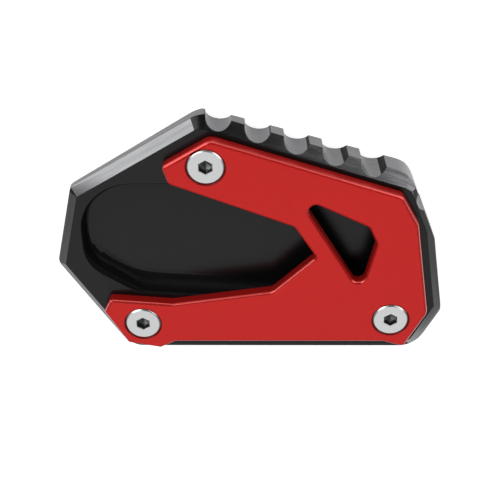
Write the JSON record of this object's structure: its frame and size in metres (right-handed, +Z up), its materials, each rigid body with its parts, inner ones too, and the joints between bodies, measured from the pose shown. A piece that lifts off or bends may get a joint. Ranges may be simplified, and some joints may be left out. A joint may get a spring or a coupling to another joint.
{
  "type": "kickstand foot enlarger",
  "caption": "Wedge base plate with an oval pocket for the foot of a side stand, held by a forked clamp plate with countersunk screws.",
  "frame": {"origin": "centre of the overall box, on the ground face of the base plate", "axes": "+X to the right along the straight front edge, +Y towards the edge with the scallops, +Z up from the ground face"},
  "size_m": [0.1234, 0.0852, 0.0192],
  "materials": {
    "base": "black anodised, with brushed chamfers",
    "clamp": "red anodised, satin",
    "screws": "stainless, turned heads"
  },
  "bodies": {
    "root": {"base_plate": "base", "clamp_plate": "clamp", "screw_upper": "screws", "screw_lower_left": "screws", "screw_lower_right": "screws"}
  },
  "joints": []
}
